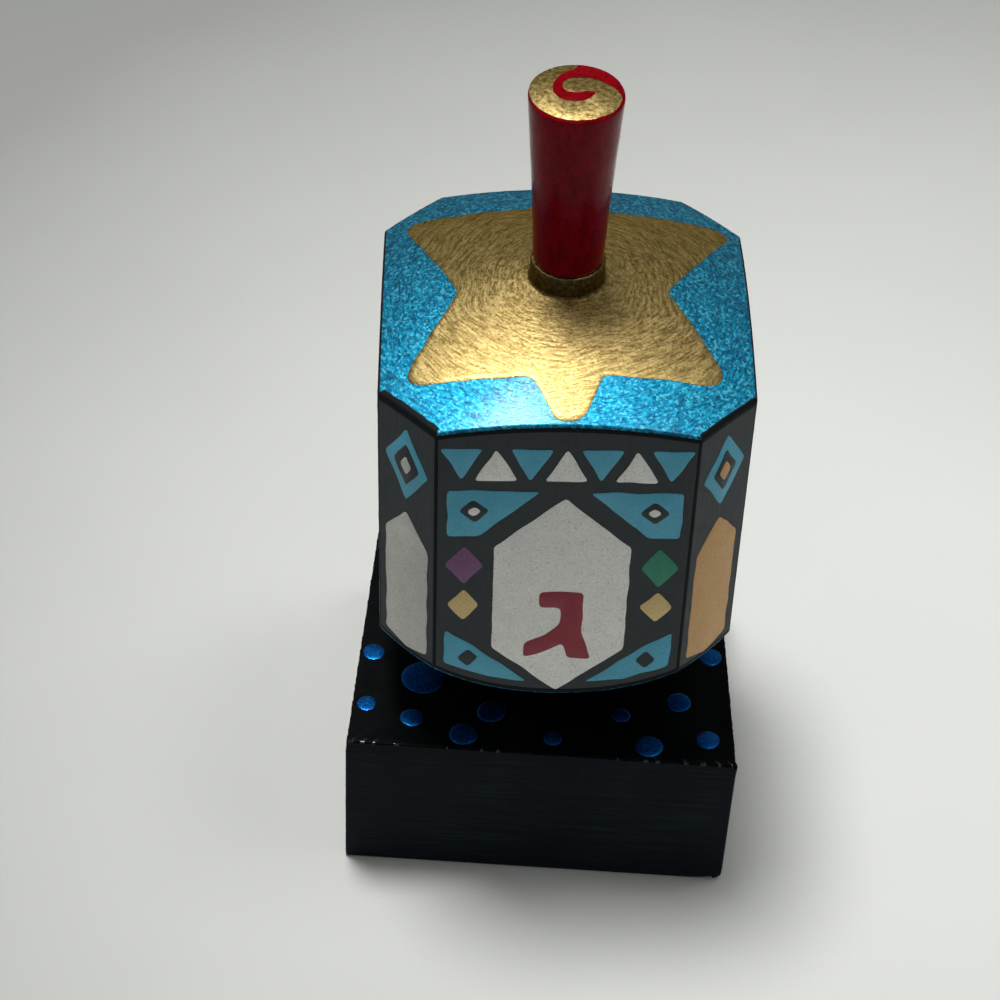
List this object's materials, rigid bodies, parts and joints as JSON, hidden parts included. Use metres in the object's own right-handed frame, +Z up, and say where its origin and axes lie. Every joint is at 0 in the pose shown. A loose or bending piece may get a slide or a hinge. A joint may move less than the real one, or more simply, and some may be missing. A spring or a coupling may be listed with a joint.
{
  "type": "dreidel",
  "caption": "Square wooden dreidel with cut corners, a shallow turned crown, a rounded base and a tapered peg handle, standing in the drilled socket of a hand-sawn block.",
  "frame": {"origin": "middle of the stand's underside, on the surface that the stand rests on", "axes": "+Z up along the spin axis, X along the stand's front, -Y towards the side that the picture shows"},
  "size_m": [0.041, 0.041, 0.0873],
  "materials": {
    "stand_paint": "satin black paint over wood",
    "body_paint": "metallic blue and charcoal paint over wood",
    "handle_paint": "glossy red paint over wood"
  },
  "bodies": {
    "stand": {"stand": "stand_paint"},
    "dreidel": {"body": "body_paint", "handle": "handle_paint"}
  },
  "joints": [
    {"name": "spin", "type": "hinge", "parent": "stand", "child": "dreidel", "pos_m": [0, 0, 0.0187], "axis": [0, 0, 1], "continuous": true}
  ]
}
